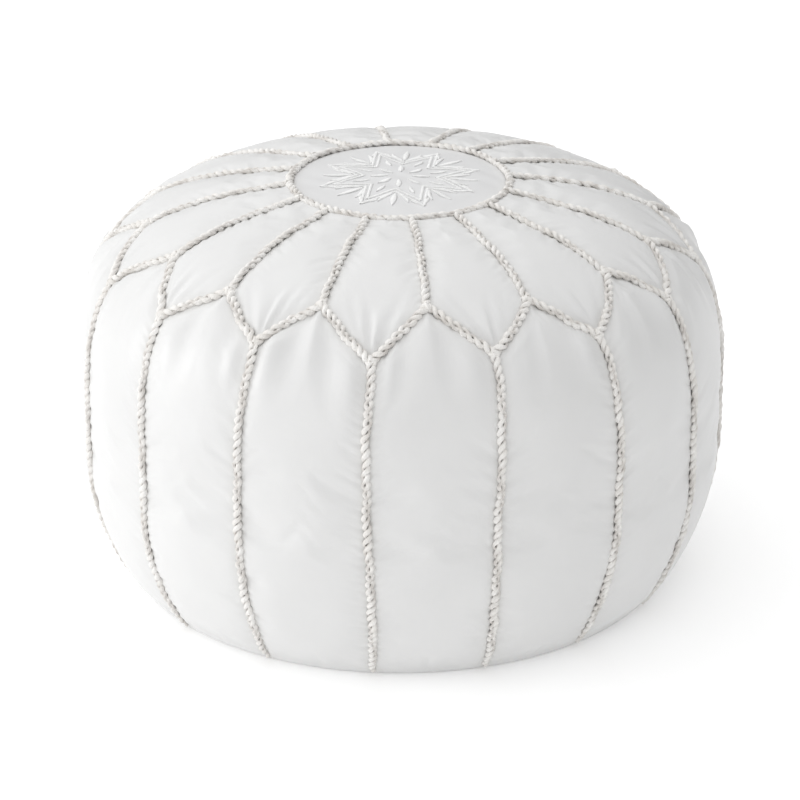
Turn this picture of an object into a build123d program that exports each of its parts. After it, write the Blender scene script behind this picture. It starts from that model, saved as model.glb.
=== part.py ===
from build123d import *
import os
from math import cos, radians, sin

# A round leather floor pouf, built as it is sewn: a medallion, sixteen petals, sixteen side panels and a
# split base, all separate leather shells, joined by raised whip-stitched seams round a cotton lining bag
# and its stuffing. A zip in the base lets the bag in and out. Millimetres, +Z up, standing on Z = 0, with
# the axis of the round body on Z.

# The stuffed body. Its half outline is two Bezier curves: the crown, from the top centre to the widest
# circle, and the foot, from there to where the leather meets the floor.
width = 520.0
height = 331.0
belly_z = 120.0
crown_reach = 285.0
shoulder_z = 239.0
heel_z = 57.0
heel_reach = 219.5
contact_radius = 214.5

# The underside: a flat ring to stand on, then a shallow dish that keeps the zip off the floor.
dish_start = 188.0
dish_end = 172.0
dish_z = 9.0

# How much each control point follows when the outline is inset, so that a wall keeps one thickness.
crown_ease = 0.77
shoulder_ease = 0.30
heel_ease = 0.17
heel_pull = 1.07
dish_ease = 0.45

# Layers, from the outside in.
leather = 1.5
layer_gap = 0.3
lining = 0.8
lining_dish_z = 14.0

# Sewing pattern.
panels = 16
pitch = 360.0 / panels
medallion_radius = 87.0
upper_radius = 199.0
lower_radius = 230.0
base_radius = 176.7

# Raised seams: half width, height over the leather, the air under them, and the bare end at a crossing.
seam_half = 3.0
seam_height = 3.2
seam_air = 0.1
seam_round = 1.8
seam_end = 4.6
seam_foot_z = 1.0
chevron_air = 0.4
knot_radius = 3.9
knot_height = 3.9
knot_round = 1.6
base_seam_bead = 2.4
base_seam_centre = (175.35, 5.52)

# Embroidery on the medallion: an eight-pointed star, sprigs between its points and a rosette inside it.
star_points = 8
star_turn = 11.0
star_tip = 65.0
star_notch = 34.5
star_line = 2.4
sprig_radius = 51.5
sprig_leaf = (20.0, 5.2)
side_leaf_radius = 50.5
side_leaf = (15.0, 4.0)
side_leaf_shift = 7.5
side_leaf_lean = 28.0
rosette_radius = 18.5
rosette_leaf = (12.0, 4.6)
thread_low = 0.05
thread_high = 0.6

# Zip, along Y. The tapes lie on the leather; the teeth hang under them between the base panels.
zip_length = 300.0
zip_slot = 12.0
touch = 0.05
tape_width = 14.2
tape_inner = 0.8
tape_thickness = 0.6
tooth_pitch = 2.5
tooth_size = (2.8, 1.6, 2.5)
tooth_inner = 0.7
teeth_per_side = 114
stop_length = 2.6
stop_y = 146.0
slider_home = 138.0
slider_length = 12.0
slider_width = 9.8
slider_plate = 1.5
slider_play = 0.4
slider_flange = 0.9
slider_corner = 2.0
bridge_width = 0.8
bridge_length = 3.6
bail_width = 2.0
bail_window = (6.0, 2.5)
bail_post = 1.2
bail_crown = 0.9
pull_bar_radius = 0.7
pull_width = 6.4
pull_arm = 1.2
pull_thickness = 1.2
pull_arm_end = 5.4
pull_length = 27.0
pull_hole_radius = 1.4
pull_hole_inset = 3.6

# Worked out from the dimensions above.
belly = width / 2
base_top = dish_z + leather
tape_bottom = base_top + touch
tape_top = tape_bottom + tape_thickness
tooth_bottom = base_top - tooth_size[2]
slider_low_top = tooth_bottom - slider_play
slider_low_bottom = slider_low_top - slider_plate
slider_high_bottom = tape_top + slider_play
pull_z = slider_low_bottom - bail_window[1] / 2


# Outline of the body

def crown_curve(inset):
    """Half outline from the top centre to the widest circle, inset into the body."""
    top = height - inset
    side = belly - inset
    reach = crown_reach - crown_ease * inset
    shoulder = shoulder_z - shoulder_ease * inset
    return Bezier((0, 0, top), (reach, 0, top), (side, 0, shoulder), (side, 0, belly_z))


def foot_curve(inset):
    """Half outline from the widest circle down to the flat ring."""
    side = belly - inset
    heel = heel_z - heel_ease * inset
    reach = heel_reach - heel_pull * inset
    return Bezier((side, 0, belly_z), (side, 0, heel), (reach, 0, inset), (contact_radius, 0, inset))


def underside(inset, dish):
    """Flat ring, rise into the dish and the dish itself, to the axis."""
    start = dish_start + dish_ease * inset
    end = dish_end + dish_ease * inset
    middle = (start + end) / 2
    roof = dish + inset
    return [
        Line((contact_radius, 0, inset), (start, 0, inset)),
        Bezier((start, 0, inset), (middle, 0, inset), (middle, 0, roof), (end, 0, roof)),
        Line((end, 0, roof), (0, 0, roof)),
    ]


def visible_outline(inset):
    return [crown_curve(inset), foot_curve(inset)]


def whole_outline(inset, dish=dish_z):
    return [*visible_outline(inset), *underside(inset, dish)]


def section_between(first, second):
    """Closed half section between the same run of outline at two insets."""
    ends = [Line(first[0] @ 0, second[0] @ 0), Line(first[-1] @ 1, second[-1] @ 1)]
    return Face(Wire([*first, *second, *ends]))


def window(section, r_low, r_high, z_low=-height, z_high=2 * height):
    """The part of a half section between two radii and two heights."""
    centre = Pos((r_low + r_high) / 2, (z_low + z_high) / 2)
    return section & Plane.XZ * centre * Rectangle(r_high - r_low, z_high - z_low)


# Points and directions on the crown

def crown_z(radius):
    """Height of the crown at a radius, by halving the curve's parameter."""
    curve = crown_curve(0.0)
    low, high = 0.0, 1.0
    for _ in range(40):
        middle = (low + high) / 2
        if (curve @ middle).X < radius:
            low = middle
        else:
            high = middle
    return (curve @ low).Z


def on_crown(radius, angle):
    return Vector(radius * cos(radians(angle)), radius * sin(radians(angle)), crown_z(radius))


def crown_normal(radius, angle):
    """Outward direction of the crown at a radius and an angle."""
    fall = crown_z(radius - 0.5) - crown_z(radius + 0.5)
    return Vector(fall * cos(radians(angle)), fall * sin(radians(angle)), 1).normalized()


def chevron_plane(upper_angle, lower_angle):
    """Plane of one slanting seam: it holds both ends and the crown's direction halfway.
    Its X runs down the seam and its Z points to the side."""
    top = on_crown(upper_radius, upper_angle)
    bottom = on_crown(lower_radius, lower_angle)
    out = crown_normal((upper_radius + lower_radius) / 2, (upper_angle + lower_angle) / 2)
    along = (bottom - top).normalized()
    return Plane(origin=(top + bottom) * 0.5, x_dir=along, z_dir=along.cross(out))


def all_round(solids, first=0.0):
    """One copy of each solid for every panel."""
    return Compound([Rot(Z=first + i * pitch) * solid for i in range(panels) for solid in solids])


# Leather shells

leather_section = section_between(whole_outline(0.0), whole_outline(leather))


def sector(section, start_angle):
    return Rot(Z=start_angle) * revolve(section, Axis.Z, revolution_arc=pitch)


def keep_side(shape, plane, inside):
    """The part of a shape on the side of a plane where a point lies."""
    above = plane.to_local_coords(inside).Z > 0
    return split(shape, bisect_by=plane, keep=Keep.TOP if above else Keep.BOTTOM)


def top_medallion():
    return revolve(window(leather_section, 0.0, medallion_radius, z_low=belly_z), Axis.Z)


def petal():
    """The petal between the radial seams at 0 and one pitch, pointed at its lower end."""
    shape = sector(window(leather_section, medallion_radius, belly, z_low=belly_z), 0.0)
    heart = on_crown((medallion_radius + upper_radius) / 2, pitch / 2)
    for upper_angle in (0.0, pitch):
        shape = keep_side(shape, chevron_plane(upper_angle, pitch / 2), heart)
    return shape


def side_panel():
    """The side panel below the radial seam at 0, pointed at its upper end and wrapped under."""
    shape = sector(window(leather_section, base_radius, belly + 1), -pitch / 2)
    for lower_angle in (-pitch / 2, pitch / 2):
        shape = keep_side(shape, chevron_plane(0.0, lower_angle), Vector(belly, 0, belly_z))
    return shape


def base_disc():
    return revolve(window(leather_section, 0.0, base_radius, z_high=belly_z), Axis.Z)


def base_panel(side):
    """Half of the round base, with its straight edge beside the zip."""
    half = Pos(side * (zip_slot + width) / 2, 0, 0) * Box(width, width, height)
    return base_disc() & half


def base_tabs():
    """The two short strips that close the base beyond the ends of the zip."""
    strip = Box(zip_slot - 2 * touch, width, height) - Box(width, zip_length, height)
    return base_disc() & strip


# Seams

body = revolve(section_between(visible_outline(0.0), visible_outline(leather)), Axis.Z)


def seam_section(air, r_low, r_high, z_low):
    """Half section of the layer that raised seams are cut from."""
    layer = section_between(visible_outline(-air), visible_outline(-seam_height))
    return window(layer, r_low, r_high, z_low)


def round_flanks(seam, plane):
    """Round the outer edges along both flanks of a seam that lies along a plane."""
    def on_flank(edge):
        return abs(abs(plane.to_local_coords(edge @ 0.5).Z) - seam_half) < touch

    outer = [e for e in seam.edges() if on_flank(e) and e.distance_to(body) > seam_height / 2]
    return fillet(outer, seam_round)


def upright_seam(section):
    return round_flanks(extrude(section, seam_half, both=True), Plane.XZ)


def petal_seams():
    """The radial seams between neighbouring petals."""
    first, last = medallion_radius + seam_end, upper_radius - seam_end
    return all_round(upright_seam(seam_section(seam_air, first, last, belly_z)).solids())


def side_seams():
    """The seams between neighbouring side panels, from the petal points down to the floor."""
    section = seam_section(seam_air, contact_radius, width, seam_foot_z)
    below_point = Pos(0, 0, crown_z(lower_radius) - height / 2 - seam_end) * Box(3 * width, width, height)
    return all_round(upright_seam(section & below_point).solids(), pitch / 2)


def chevron_seam():
    """The zigzag seam between the petals and the side panels, one bar to each slanting edge."""
    layer = revolve(seam_section(chevron_air, upper_radius - 9, lower_radius + 9, belly_z), Axis.Z)
    bars = []
    for lower_angle in (-pitch / 2, pitch / 2):
        plane = chevron_plane(0.0, lower_angle)
        length = (on_crown(upper_radius, 0.0) - on_crown(lower_radius, lower_angle)).length
        slab = plane * Box(length - 2 * seam_end, length, 2 * seam_half)
        bars += round_flanks(layer & slab, plane).solids()
    return all_round(bars)


def medallion_seam():
    """The ring round the medallion."""
    low, high = medallion_radius - seam_half, medallion_radius + seam_half
    ring = revolve(seam_section(seam_air, low, high, belly_z), Axis.Z)
    outer = [e for e in ring.edges() if e.distance_to(body) > seam_height / 2]
    return fillet(outer, seam_round)


def base_seam():
    """The ring that joins the side panels to the base, on the slope of the dish."""
    radius, z = base_seam_centre
    return revolve(Plane.XZ * Pos(radius, z) * Circle(base_seam_bead), Axis.Z)


def knot(radius, angle):
    """A low dome of gathered thread where three seams meet."""
    point = on_crown(radius, angle)
    post = Plane(origin=point, z_dir=crown_normal(radius, angle)) * Cylinder(knot_radius, width / 4)
    layer = section_between(visible_outline(-seam_air), visible_outline(-knot_height))
    shape = revolve(window(layer, radius - 9, radius + 9, belly_z), Axis.Z) & post
    outer = [e for e in shape.edges() if e.distance_to(body) > knot_height / 2]
    return fillet(outer, knot_round)


def seam_knots():
    return all_round([*knot(upper_radius, 0.0).solids(), *knot(lower_radius, pitch / 2).solids()])


# Embroidery

def leaf(length, breadth):
    """A pointed leaf along X, from two arcs."""
    ends = (-length / 2, 0), (length / 2, 0)
    upper = ThreePointArc(ends[0], (0, breadth / 2), ends[1])
    lower = ThreePointArc(ends[0], (0, -breadth / 2), ends[1])
    return Face(Wire([upper, lower]))


def star():
    """The outline of a pointed star, as a band of even width."""
    half_step = 180.0 / star_points
    corners = []
    for i in range(2 * star_points):
        reach = star_notch if i % 2 else star_tip
        angle = radians(i * half_step)
        corners.append((reach * cos(angle), reach * sin(angle)))
    outside = Polyline(*corners, close=True)
    return make_face(outside) - offset(make_face(outside), -star_line, kind=Kind.INTERSECTION)


def sprig():
    """A leaf with a leaning leaf on each side, between two points of the star."""
    leaves = [Pos(sprig_radius, 0) * leaf(*sprig_leaf)]
    for side in (-1, 1):
        spot = Pos(side_leaf_radius, side * side_leaf_shift) * Rot(Z=side * side_leaf_lean)
        leaves.append(spot * leaf(*side_leaf))
    return leaves


def medallion_embroidery():
    """The raised silk pattern: every motif extruded and cut from a thin layer on the medallion."""
    step = 360.0 / star_points
    motifs = [Rot(Z=star_turn) * star()]
    for i in range(star_points):
        between = star_turn + (i + 0.5) * step
        motifs += [Rot(Z=between) * shape for shape in sprig()]
        motifs.append(Rot(Z=star_turn + i * step) * Pos(rosette_radius, 0) * leaf(*rosette_leaf))
    layer = section_between(visible_outline(-thread_low), visible_outline(-thread_high))
    layer = revolve(window(layer, 0.0, medallion_radius, belly_z), Axis.Z)
    pieces = [layer & extrude(Pos(0, 0, belly_z) * motif, height, (0, 0, 1)) for motif in motifs]
    return Compound([solid for piece in pieces for solid in piece.solids()])


# Filling

def inner_liner():
    """The closed cotton bag just inside the leather, raised over the zip."""
    outer = leather + layer_gap
    dish = lining_dish_z - outer
    return revolve(section_between(whole_outline(outer, dish), whole_outline(outer + lining, dish)), Axis.Z)


def stuffing():
    """The filling that the bag is packed with."""
    inset = leather + layer_gap + lining + layer_gap
    dish = lining_dish_z - leather - layer_gap
    curves = whole_outline(inset, dish)
    axis_line = Line(curves[0] @ 0, curves[-1] @ 1)
    return revolve(Face(Wire([*curves, axis_line])), Axis.Z)


# Zip

def zip_tape(side):
    middle = side * (tape_inner + tape_width / 2)
    return Pos(middle, 0, (tape_bottom + tape_top) / 2) * Box(tape_width, zip_length, tape_thickness)


def zip_teeth(side):
    """One row of teeth, set half a pitch off the other row."""
    x = side * (tooth_inner + tooth_size[0] / 2)
    z = base_top - tooth_size[2] / 2
    shift = side * tooth_pitch / 4
    first = -(teeth_per_side - 1) / 2 * tooth_pitch
    spots = [Pos(x, first + i * tooth_pitch + shift, z) for i in range(teeth_per_side)]
    return Compound([spot * Box(*tooth_size) for spot in spots])


def zip_stop(x_low, x_high, y):
    z = base_top - tooth_size[2] / 2
    return Pos((x_low + x_high) / 2, y, z) * Box(x_high - x_low, stop_length, tooth_size[2])


def zip_bottom_stop():
    reach = tooth_inner + tooth_size[0]
    return zip_stop(-reach, reach, -stop_y)


def zip_top_stops():
    reach = tooth_inner + tooth_size[0]
    return Compound([zip_stop(tooth_inner, reach, stop_y), zip_stop(-reach, -tooth_inner, stop_y)])


def slider_block(size, x, y, bottom):
    return Pos(x, slider_home + y, bottom + size[2] / 2) * Box(*size)


def slider_wings():
    """The two plates that sandwich the teeth, with rounded corners."""
    plates = []
    for bottom in (slider_low_bottom, slider_high_bottom):
        plate = slider_block((slider_width, slider_length, slider_plate), 0, 0, bottom)
        plates.append(fillet(plate.edges().filter_by(Axis.Z), slider_corner))
    return plates


def slider_guides():
    """The bridge between the plates and the flanges that steer the teeth."""
    shapes = [slider_block(
        (bridge_width, bridge_length, slider_high_bottom - slider_low_top), 0, 0, slider_low_top)]
    height_up = tape_bottom - slider_play - slider_low_top
    for side in (-1, 1):
        x = side * (slider_width - slider_flange) / 2
        size = (slider_flange, slider_length - 2 * slider_corner, height_up)
        shapes.append(slider_block(size, x, 0, slider_low_top))
    return shapes


def slider_bail():
    """The loop under the slider that the pull swings in."""
    span = bail_window[0] + 2 * bail_post
    bottom = slider_low_bottom - bail_window[1] - bail_crown
    loop = slider_block((bail_width, span, bail_window[1] + bail_crown), 0, 0, bottom)
    loop = fillet(loop.edges().filter_by(Axis.X).group_by(Axis.Z)[0], bail_crown)
    hole = slider_block((2 * bail_width, *bail_window), 0, 0, slider_low_bottom - bail_window[1])
    return loop - hole


def zip_slider():
    shape = slider_bail()
    for piece in (*slider_wings(), *slider_guides()):
        shape += piece
    return shape


def zip_pull():
    """A tab with a fork that holds a cross bar; it lies flat, towards -Y from its bar."""
    bar = Rot(Y=90) * Cylinder(pull_bar_radius, pull_width - pull_arm)
    fork = [bar]
    for side in (-1, 1):
        x = side * (pull_width - pull_arm) / 2
        fork.append(Pos(x, -pull_arm_end / 2, 0) * Box(pull_arm, pull_arm_end, pull_thickness))
        fork.append(Pos(x, 0, 0) * Rot(Y=90) * Cylinder(pull_bar_radius, pull_arm))
    tab_length = pull_length - pull_arm_end
    tab = Pos(0, -pull_arm_end - tab_length / 2, 0) * Box(pull_width, tab_length, pull_thickness)
    tab = fillet(tab.edges().filter_by(Axis.Z).group_by(Axis.Y)[0], pull_width / 2 - touch)
    tab -= Pos(0, pull_hole_inset - pull_length, 0) * Cylinder(pull_hole_radius, 2 * pull_thickness)
    shape = tab
    for piece in fork:
        shape += piece
    return Pos(0, slider_home, pull_z) * shape


# Every node of the pouf, by name

def make_nodes():
    nodes = {"top_medallion": top_medallion()}
    first_petal, first_panel = petal(), side_panel()
    for i in range(panels):
        nodes[f"petal_{i + 1:02d}"] = Rot(Z=i * pitch) * first_petal
        nodes[f"side_panel_{i + 1:02d}"] = Rot(Z=i * pitch) * first_panel
    for side, name in ((-1, "left"), (1, "right")):
        nodes[f"base_panel_{name}"] = base_panel(side)
        nodes[f"zip_tape_{name}"] = zip_tape(side)
        nodes[f"zip_teeth_{name}"] = zip_teeth(side)
    for make in (base_tabs, medallion_seam, petal_seams, chevron_seam, side_seams, base_seam, seam_knots,
                 medallion_embroidery, inner_liner, stuffing, zip_bottom_stop, zip_top_stops,
                 zip_slider, zip_pull):
        nodes[make.__name__] = make()
    return nodes


os.makedirs("parts", exist_ok=True)
for name, shape in make_nodes().items():
    shape.label = name
    export_step(shape, f"parts/{name}.step")
    print(f"{name}: {shape.volume / 1000:.2f} cm3, {len(shape.solids())} solid(s)")
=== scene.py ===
# %% [markdown]
# # A stitched leather floor pouf
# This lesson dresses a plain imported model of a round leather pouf: sixteen side panels, sixteen petals and a
# medallion, joined by raised, whipped seams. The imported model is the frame. It fixes every size and place, so
# the first cell loads it, and everything after is measured from it. Everything is in metres, with +Z up.

# %% Load the frame
import math
import bpy
import bmesh
import numpy as np
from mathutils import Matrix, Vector


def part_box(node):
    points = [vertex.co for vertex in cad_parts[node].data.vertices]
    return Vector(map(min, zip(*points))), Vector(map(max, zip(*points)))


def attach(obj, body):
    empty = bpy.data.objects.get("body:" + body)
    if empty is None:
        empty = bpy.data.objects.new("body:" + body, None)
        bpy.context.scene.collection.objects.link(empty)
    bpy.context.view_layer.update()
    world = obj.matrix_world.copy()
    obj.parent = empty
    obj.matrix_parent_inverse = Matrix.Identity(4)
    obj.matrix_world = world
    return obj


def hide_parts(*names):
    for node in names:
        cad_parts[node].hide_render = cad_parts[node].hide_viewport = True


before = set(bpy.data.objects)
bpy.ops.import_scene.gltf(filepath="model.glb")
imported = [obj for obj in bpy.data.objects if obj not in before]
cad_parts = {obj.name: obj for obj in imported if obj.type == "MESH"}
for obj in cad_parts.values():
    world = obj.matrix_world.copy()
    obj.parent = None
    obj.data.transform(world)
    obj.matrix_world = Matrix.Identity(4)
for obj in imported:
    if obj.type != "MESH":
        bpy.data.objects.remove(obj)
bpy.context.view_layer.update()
scene = bpy.context.scene
MM = 0.001

# %% [markdown]
# ## The sewing pattern
# A pouf like this is cut from a few repeated pieces. Where the seams run follows from how many panels there
# are and from four circles: the medallion's edge, the tops and the points of the zigzag seam, and the edge
# of the base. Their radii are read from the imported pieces, so they can't drift from the model.

# %% Read the pattern's sizes from the frame
PANELS = 16
PITCH = 2 * math.pi / PANELS
petal_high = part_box("petal_01")[1]
PILLOW_TRIM = 3 * MM
belly_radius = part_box("side_panel_01")[1].x - PILLOW_TRIM
top_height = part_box("top_medallion")[1].z
ring_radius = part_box("top_medallion")[1].x
upper_radius = petal_high.y / math.sin(PITCH)
lower_radius = petal_high.x / math.cos(PITCH / 2)
base_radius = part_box("base_panel_right")[1].y
leather = 1.5 * MM
print("seam circles, mm:", [round(r / MM, 1) for r in (ring_radius, upper_radius, lower_radius, base_radius)])

# %% [markdown]
# ## The outline
# The body is a surface of revolution with a soft outline: a crown curve down to the widest circle, a foot
# curve down to the floor, a flat ring that it stands on, and a shallow dish in the base. Bezier curves draw
# such an outline from a handful of points. It is then sampled evenly, so that a place on the leather is just
# an angle round the body and a distance down the outline.

# %% Draw the outline and measure along it
BELLY_Z = 120 * MM
CROWN_REACH = 280 * MM
SHOULDER_Z = 239 * MM
HEEL_Z = 57 * MM
HEEL_REACH = 219.5 * MM
CONTACT_RADIUS = 214.5 * MM
DISH_START = 188 * MM
DISH_END = 172 * MM
DISH_Z = 9 * MM


def bezier(points, count=400):
    """Points of a cubic curve through a row of four handles."""
    a, b, c, d = (np.array(p) for p in points)
    t = np.linspace(0, 1, count)[:, None]
    return a * (1 - t) ** 3 + 3 * b * t * (1 - t) ** 2 + 3 * c * t**2 * (1 - t) + d * t**3


def outline_points():
    middle = (DISH_START + DISH_END) / 2
    crown = bezier([(0, top_height), (CROWN_REACH, top_height), (belly_radius, SHOULDER_Z),
                    (belly_radius, BELLY_Z)])
    foot = bezier([(belly_radius, BELLY_Z), (belly_radius, HEEL_Z), (HEEL_REACH, 0), (CONTACT_RADIUS, 0)])
    flat = np.linspace((CONTACT_RADIUS, 0), (DISH_START, 0), 60)
    rise = bezier([(DISH_START, 0), (middle, 0), (middle, DISH_Z), (DISH_END, DISH_Z)], 100)
    roof = np.linspace((DISH_END, DISH_Z), (0, DISH_Z), 200)
    return np.vstack([crown, foot[1:], flat[1:], rise[1:], roof[1:]])


raw = outline_points()
steps = np.hypot(*np.diff(raw, axis=0).T)
raw_arc = np.concatenate([[0], np.cumsum(steps)])
ARC = np.linspace(0, raw_arc[-1], 4000)
OUT_R = np.interp(ARC, raw_arc, raw[:, 0])
OUT_Z = np.interp(ARC, raw_arc, raw[:, 1])
slope_r, slope_z = np.gradient(OUT_R, ARC), np.gradient(OUT_Z, ARC)
NORMAL_R, NORMAL_Z = -slope_z, slope_r
widest = int(np.argmax(OUT_R))


def arc_at(radius):
    """Distance down the outline to a radius on the crown."""
    return float(np.interp(radius, OUT_R[:widest], ARC[:widest]))


S_RING, S_UPPER, S_LOWER = arc_at(ring_radius), arc_at(upper_radius), arc_at(lower_radius)
S_BASE = float(np.interp(-base_radius, -OUT_R[widest:], ARC[widest:]))
S_CONTACT = float(np.interp(-CONTACT_RADIUS, -OUT_R[widest:], ARC[widest:]))
print("outline length", round(ARC[-1] / MM), "mm; zigzag between", round(S_UPPER / MM), round(S_LOWER / MM))

# %% [markdown]
# ## Hand work
# No two seams of a hand-sewn pouf are quite alike. Instead of moving each piece, one smooth drift is added to
# every place on the top and sides. Leather, cords and knots all go through the same `place` function, so what
# meets on the pattern still meets on the body. The drift fades out at the medallion and the base.

# %% Place pattern points on the body
rng = np.random.default_rng(16)
DRIFT_WAVES = [(n, rng.uniform(0, 2 * math.pi), rng.uniform(2, 7), rng.normal(0, 1)) for n in range(3, 15)]
DRIFT = 0.14 * math.radians(1)
SAG = 0.35 * MM


def drift(angle, s):
    """Small handmade shifts at a place: round the body, in radians, and down it, in metres."""
    turn, sag = np.zeros_like(angle + s), np.zeros_like(angle + s)
    for n, phase, rate, size in DRIFT_WAVES:
        turn += size * np.sin(n * angle + phase + rate * s / ARC[-1] * math.pi)
        sag += size * np.cos(n * angle + 2 * phase + rate * s / ARC[-1])
    on_top = np.clip((S_BASE - s) / (60 * MM), 0, 1) * np.clip((s - S_RING) / (40 * MM), 0, 1)
    return turn * DRIFT * on_top, sag * SAG * on_top


def place(angle, s, lift):
    """Points and outward directions for angles, distances down the outline, and heights off the leather."""
    angle, s, lift = np.broadcast_arrays(*(np.asarray(v, float) for v in (angle, s, lift)))
    turn, sag = drift(angle, s)
    a, d = angle + turn, s + sag
    nr, nz = np.interp(d, ARC, NORMAL_R), np.interp(d, ARC, NORMAL_Z)
    r = np.interp(d, ARC, OUT_R) + lift * nr
    z = np.interp(d, ARC, OUT_Z) + lift * nz
    points = np.stack([r * np.cos(a), r * np.sin(a), z], axis=-1)
    out = np.stack([nr * np.cos(a), nr * np.sin(a), nz], axis=-1)
    return points, out


ZIGZAG_BOW = 2.0 * MM
CORNER_SAG = 3.2 * MM
RADIUS_WAVES = [(n, rng.uniform(0, 2 * math.pi), rng.normal(0, 0.6 * MM)) for n in range(4, 20)]


def from_radial(angle):
    """How far an angle is from the nearest radial seam, from 0 there to 1 at a side seam."""
    return np.abs((angle / PITCH + 0.5) % 1 - 0.5) * 2


def zigzag(angle):
    """Distance down the outline to the zigzag seam at an angle."""
    t = from_radial(np.asarray(angle, float))
    radius = upper_radius + (lower_radius - upper_radius) * t + ZIGZAG_BOW * 4 * t * (1 - t)
    radius = radius + sum(size * np.sin(n * angle + phase) for n, phase, size in RADIUS_WAVES)
    return np.interp(radius, OUT_R[:widest], ARC[:widest]) + CORNER_SAG * (0.5 + t**2)


widest_drift = np.abs(drift(np.linspace(0, 2 * math.pi, 400), S_LOWER)[0]).max() * lower_radius
print("largest drift", round(float(widest_drift) / MM, 1), "mm")

# %% [markdown]
# ## The leather's shape
# Packed fibre pushes the leather out between the seams, and the seams hold it in, so each panel is a soft
# pillow with little gathers along its edges and a few long folds where it is pulled to a point. The big
# pillows come from cloth simulation on a grid of the whole cover. The gathers are finer than that
# grid, so they are drawn from the distance to the nearest seam.

# %% Lay a grid over the cover and puff it with cloth simulation
COLUMNS_PER_PANEL = 18
CROWN_ROWS = 24
SIDE_ROWS = 64


def cover_grid(columns_per_panel, crown_rows, side_rows, bunch=0.0):
    """Angles and outline distances of a grid on the cover, with a row on the zigzag seam.
    bunch draws the columns together towards the seams."""
    half = columns_per_panel // 2
    t = np.arange(half) / half
    t = t - bunch * np.sin(2 * math.pi * t) / (2 * math.pi)
    offsets = np.concatenate([t, 1 + t]) * PITCH / 2
    angles = np.concatenate([k * PITCH + offsets for k in range(PANELS)])
    bend = zigzag(angles)
    crown = S_RING + (bend - S_RING) * np.linspace(0, 1, crown_rows + 1)[:, None]
    side = bend + (S_BASE - bend) * np.linspace(0, 1, side_rows + 1)[1:, None]
    return np.broadcast_to(angles, (crown_rows + side_rows + 1, len(angles))), np.vstack([crown, side])


def grid_faces(rows, columns, closed=True):
    """Faces of a grid of rows by columns, wound so that they look outwards."""
    last = columns if closed else columns - 1
    j = np.arange(last)
    k = (j + 1) % columns
    i = np.arange(rows - 1)[:, None] * columns
    faces = np.stack([i + j, i + columns + j, i + columns + k, i + k], axis=-1)
    return faces.reshape(-1, 4)


def mesh_object(name, points, faces, smooth=True):
    mesh = bpy.data.meshes.new(name)
    mesh.from_pydata(np.asarray(points).reshape(-1, 3).tolist(), [], [list(map(int, f)) for f in faces])
    mesh.update()
    if smooth:
        mesh.polygons.foreach_set("use_smooth", [True] * len(mesh.polygons))
    piece = bpy.data.objects.new(name, mesh)
    scene.collection.objects.link(piece)
    return piece


PUFF_FRAMES = 24
PUFF_PRESSURE = 3.0
PUFF_SLACK = -0.012
PUFF_CAP = 6 * MM
SEAM_REACH = 1.2 * MM


def seam_gaps(angle, s):
    """Distances over the leather to the radial or side seam and to the zigzag, in metres."""
    t = from_radial(angle)
    bend = zigzag(angle)
    radius = np.interp(s, ARC, OUT_R)
    across = np.where(s < bend, t, 1 - t) * PITCH / 2 * radius
    lean = math.atan2(lower_radius * PITCH / 2, S_LOWER - S_UPPER)
    return across, np.abs(s - bend) * math.sin(lean)


def simulate_cover():
    """How far every grid point of the cover moves off the outline when the cover is stuffed, in metres."""
    angle, s = cover_grid(COLUMNS_PER_PANEL, CROWN_ROWS, SIDE_ROWS)
    points, out = place(angle, s, 0)
    rows, columns = angle.shape
    cloth = mesh_object("puff_trial", points, grid_faces(rows, columns))
    across, bend = seam_gaps(angle, s)
    floor_z = np.interp(s, ARC, OUT_Z)
    held = (across < SEAM_REACH) | (bend < SEAM_REACH) | (floor_z < 2 * MM) | (s >= S_BASE - 2 * MM)
    held |= s <= S_RING + MM
    group = cloth.vertex_groups.new(name="held")
    group.add([int(i) for i in np.flatnonzero(held.ravel())], 1.0, "REPLACE")
    modifier = cloth.modifiers.new("cloth", "CLOTH")
    settings = modifier.settings
    settings.quality = 6
    settings.mass = 0.4
    settings.tension_stiffness = settings.compression_stiffness = 30
    settings.shear_stiffness = 12
    settings.bending_stiffness = 1.2
    settings.air_damping = 4
    settings.vertex_group_mass = "held"
    settings.use_pressure = True
    settings.uniform_pressure_force = PUFF_PRESSURE
    settings.shrink_min = PUFF_SLACK
    settings.effector_weights.gravity = 0
    modifier.collision_settings.use_collision = False
    modifier.point_cache.frame_end = PUFF_FRAMES
    for step in range(1, PUFF_FRAMES + 1):
        scene.frame_set(step)
    moved = cloth.evaluated_get(bpy.context.evaluated_depsgraph_get())
    result = np.zeros(rows * columns * 3)
    moved.data.vertices.foreach_get("co", result)
    shift = ((result.reshape(rows, columns, 3) - points) * out).sum(-1)
    scene.frame_set(1)
    bpy.data.objects.remove(cloth)
    return np.clip(shift, -PUFF_CAP, PUFF_CAP)


puff = simulate_cover()
print("puff from", round(puff.min() / MM, 2), "to", round(puff.max() / MM, 2), "mm")

# %% [markdown]
# The trial grid is too coarse for gathers, so its puff is read with a smooth cubic blend onto a finer grid
# whose columns bunch up towards the seams. The gathers are a ripple along each seam that dies away from it.

# %% Read the puff smoothly and add the gathers
def cubic_weights(t):
    """Weights of four neighbours for a smooth curve through the middle two."""
    return np.stack([-t + 2 * t**2 - t**3, 2 - 5 * t**2 + 3 * t**3, t + 4 * t**2 - 3 * t**3, t**3 - t**2]) / 2


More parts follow.
